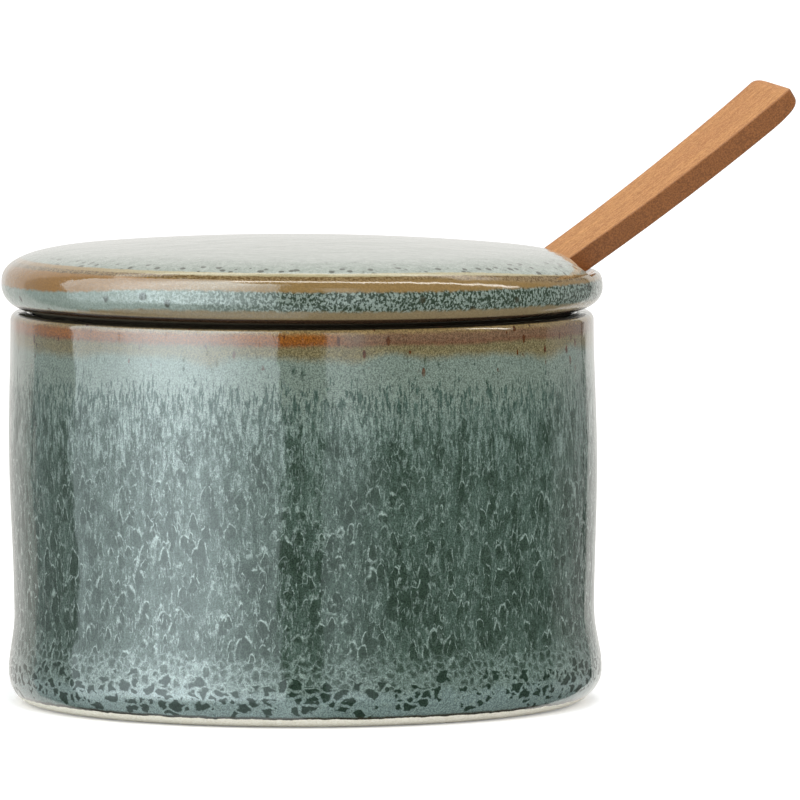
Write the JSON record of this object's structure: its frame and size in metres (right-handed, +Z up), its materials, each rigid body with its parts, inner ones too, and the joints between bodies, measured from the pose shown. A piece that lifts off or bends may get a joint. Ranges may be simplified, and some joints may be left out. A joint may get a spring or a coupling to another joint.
{
  "type": "stoneware canister with lid and spoon",
  "caption": "Round stoneware canister with a thick overhanging lid and a wooden spoon whose flat handle leans out through a slot in the lid's shoulder.",
  "frame": {"origin": "centre of the jar's flat unglazed foot, on the jar's axis", "axes": "+Z up along the jar's axis, +X towards the lid's slot and the spoon's handle"},
  "size_m": [0.1401, 0.105, 0.1087],
  "materials": {
    "jar_glaze": "mottled blue-green reactive glaze, glossy, on cream stoneware",
    "lid_glaze": "pale grey-green reactive glaze, glossy, breaking to tan at the shoulder",
    "spoon_wood": "plain fine-grained wood, satin"
  },
  "bodies": {
    "jar": {"jar": "jar_glaze"},
    "lid": {"lid": "lid_glaze"},
    "spoon": {"spoon": "spoon_wood"}
  },
  "joints": [
    {"name": "lid_lift", "type": "slide", "parent": "jar", "child": "lid", "axis": [0, 0, 1], "range_m": [0, 0.1]},
    {"name": "spoon_pull", "type": "slide", "parent": "lid", "child": "spoon", "axis": [0.8251, 0, 0.565], "range_m": [0, 0.055]}
  ]
}
